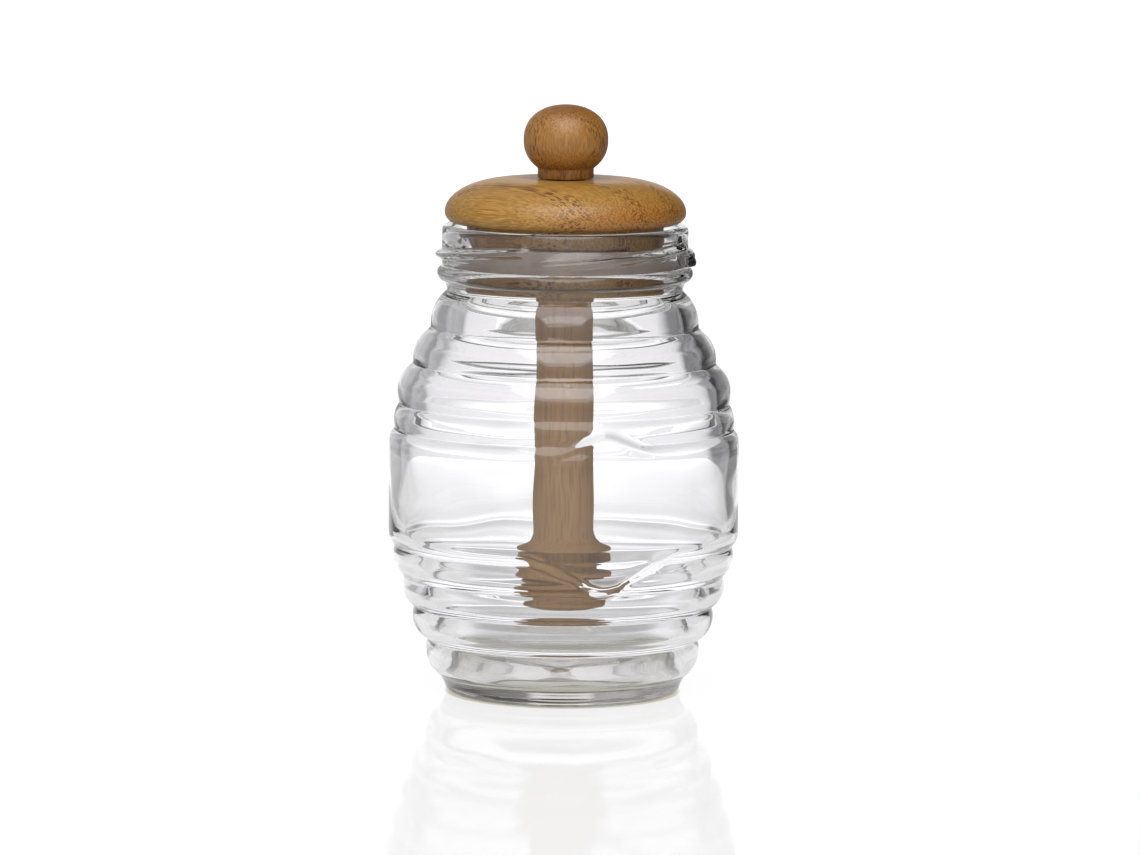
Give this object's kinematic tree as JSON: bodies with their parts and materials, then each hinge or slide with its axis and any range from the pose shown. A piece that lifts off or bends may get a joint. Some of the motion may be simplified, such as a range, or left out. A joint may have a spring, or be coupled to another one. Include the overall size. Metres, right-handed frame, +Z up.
{
  "type": "glass honey jar",
  "caption": "Ribbed barrel-shaped clear glass honey jar with a hexagonal label panel, a bamboo lid with knob and silicone seal, and a bamboo honey dipper inside.",
  "frame": {"origin": "middle of the jar's resting ring, at the level it stands on", "axes": "+Z up along the jar's axis, -Y to the front, +X to the right as seen from the front"},
  "size_m": [0.094, 0.094, 0.158],
  "materials": {
    "clear_glass": "clear, pressed, glossy",
    "lid_bamboo": "satin lacquered bamboo",
    "grey_silicone": "matte, translucent",
    "knob_bamboo": "satin lacquered bamboo",
    "dipper_bamboo": "plain sanded bamboo"
  },
  "bodies": {
    "root": {"jar": "clear_glass", "lid": "lid_bamboo", "lid_seal": "grey_silicone", "lid_knob": "knob_bamboo", "dipper": "dipper_bamboo"}
  },
  "joints": []
}
